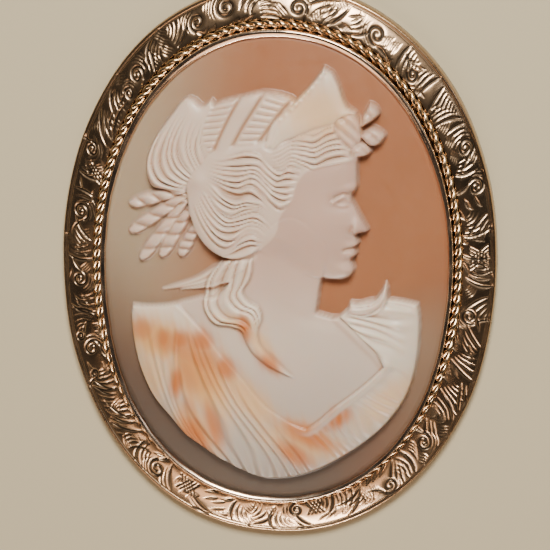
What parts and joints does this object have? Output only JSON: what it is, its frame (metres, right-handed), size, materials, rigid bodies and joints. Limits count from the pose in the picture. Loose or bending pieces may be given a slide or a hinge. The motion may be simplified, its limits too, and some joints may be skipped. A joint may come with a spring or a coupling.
{
  "type": "cameo pendant",
  "caption": "Oval cameo pendant: a draped classical bust carved from shell, in an engraved gold mount with a rope border and a loop for a chain.",
  "frame": {"origin": "on the surface it lies on, under the middle of the whole length and width", "axes": "+Z out of the face, +Y up the pendant to the loop, +X to the right of the face"},
  "size_m": [0.0412, 0.0626, 0.0064],
  "materials": {
    "gold": "polished rose gold with engraved, darkened scrollwork on the rim",
    "shell": "carved shell, cream relief over an orange-brown ground, satin",
    "loop_gold": "plain polished rose gold"
  },
  "bodies": {
    "root": {"setting": "gold", "cameo": "shell", "bail": "loop_gold"}
  },
  "joints": []
}
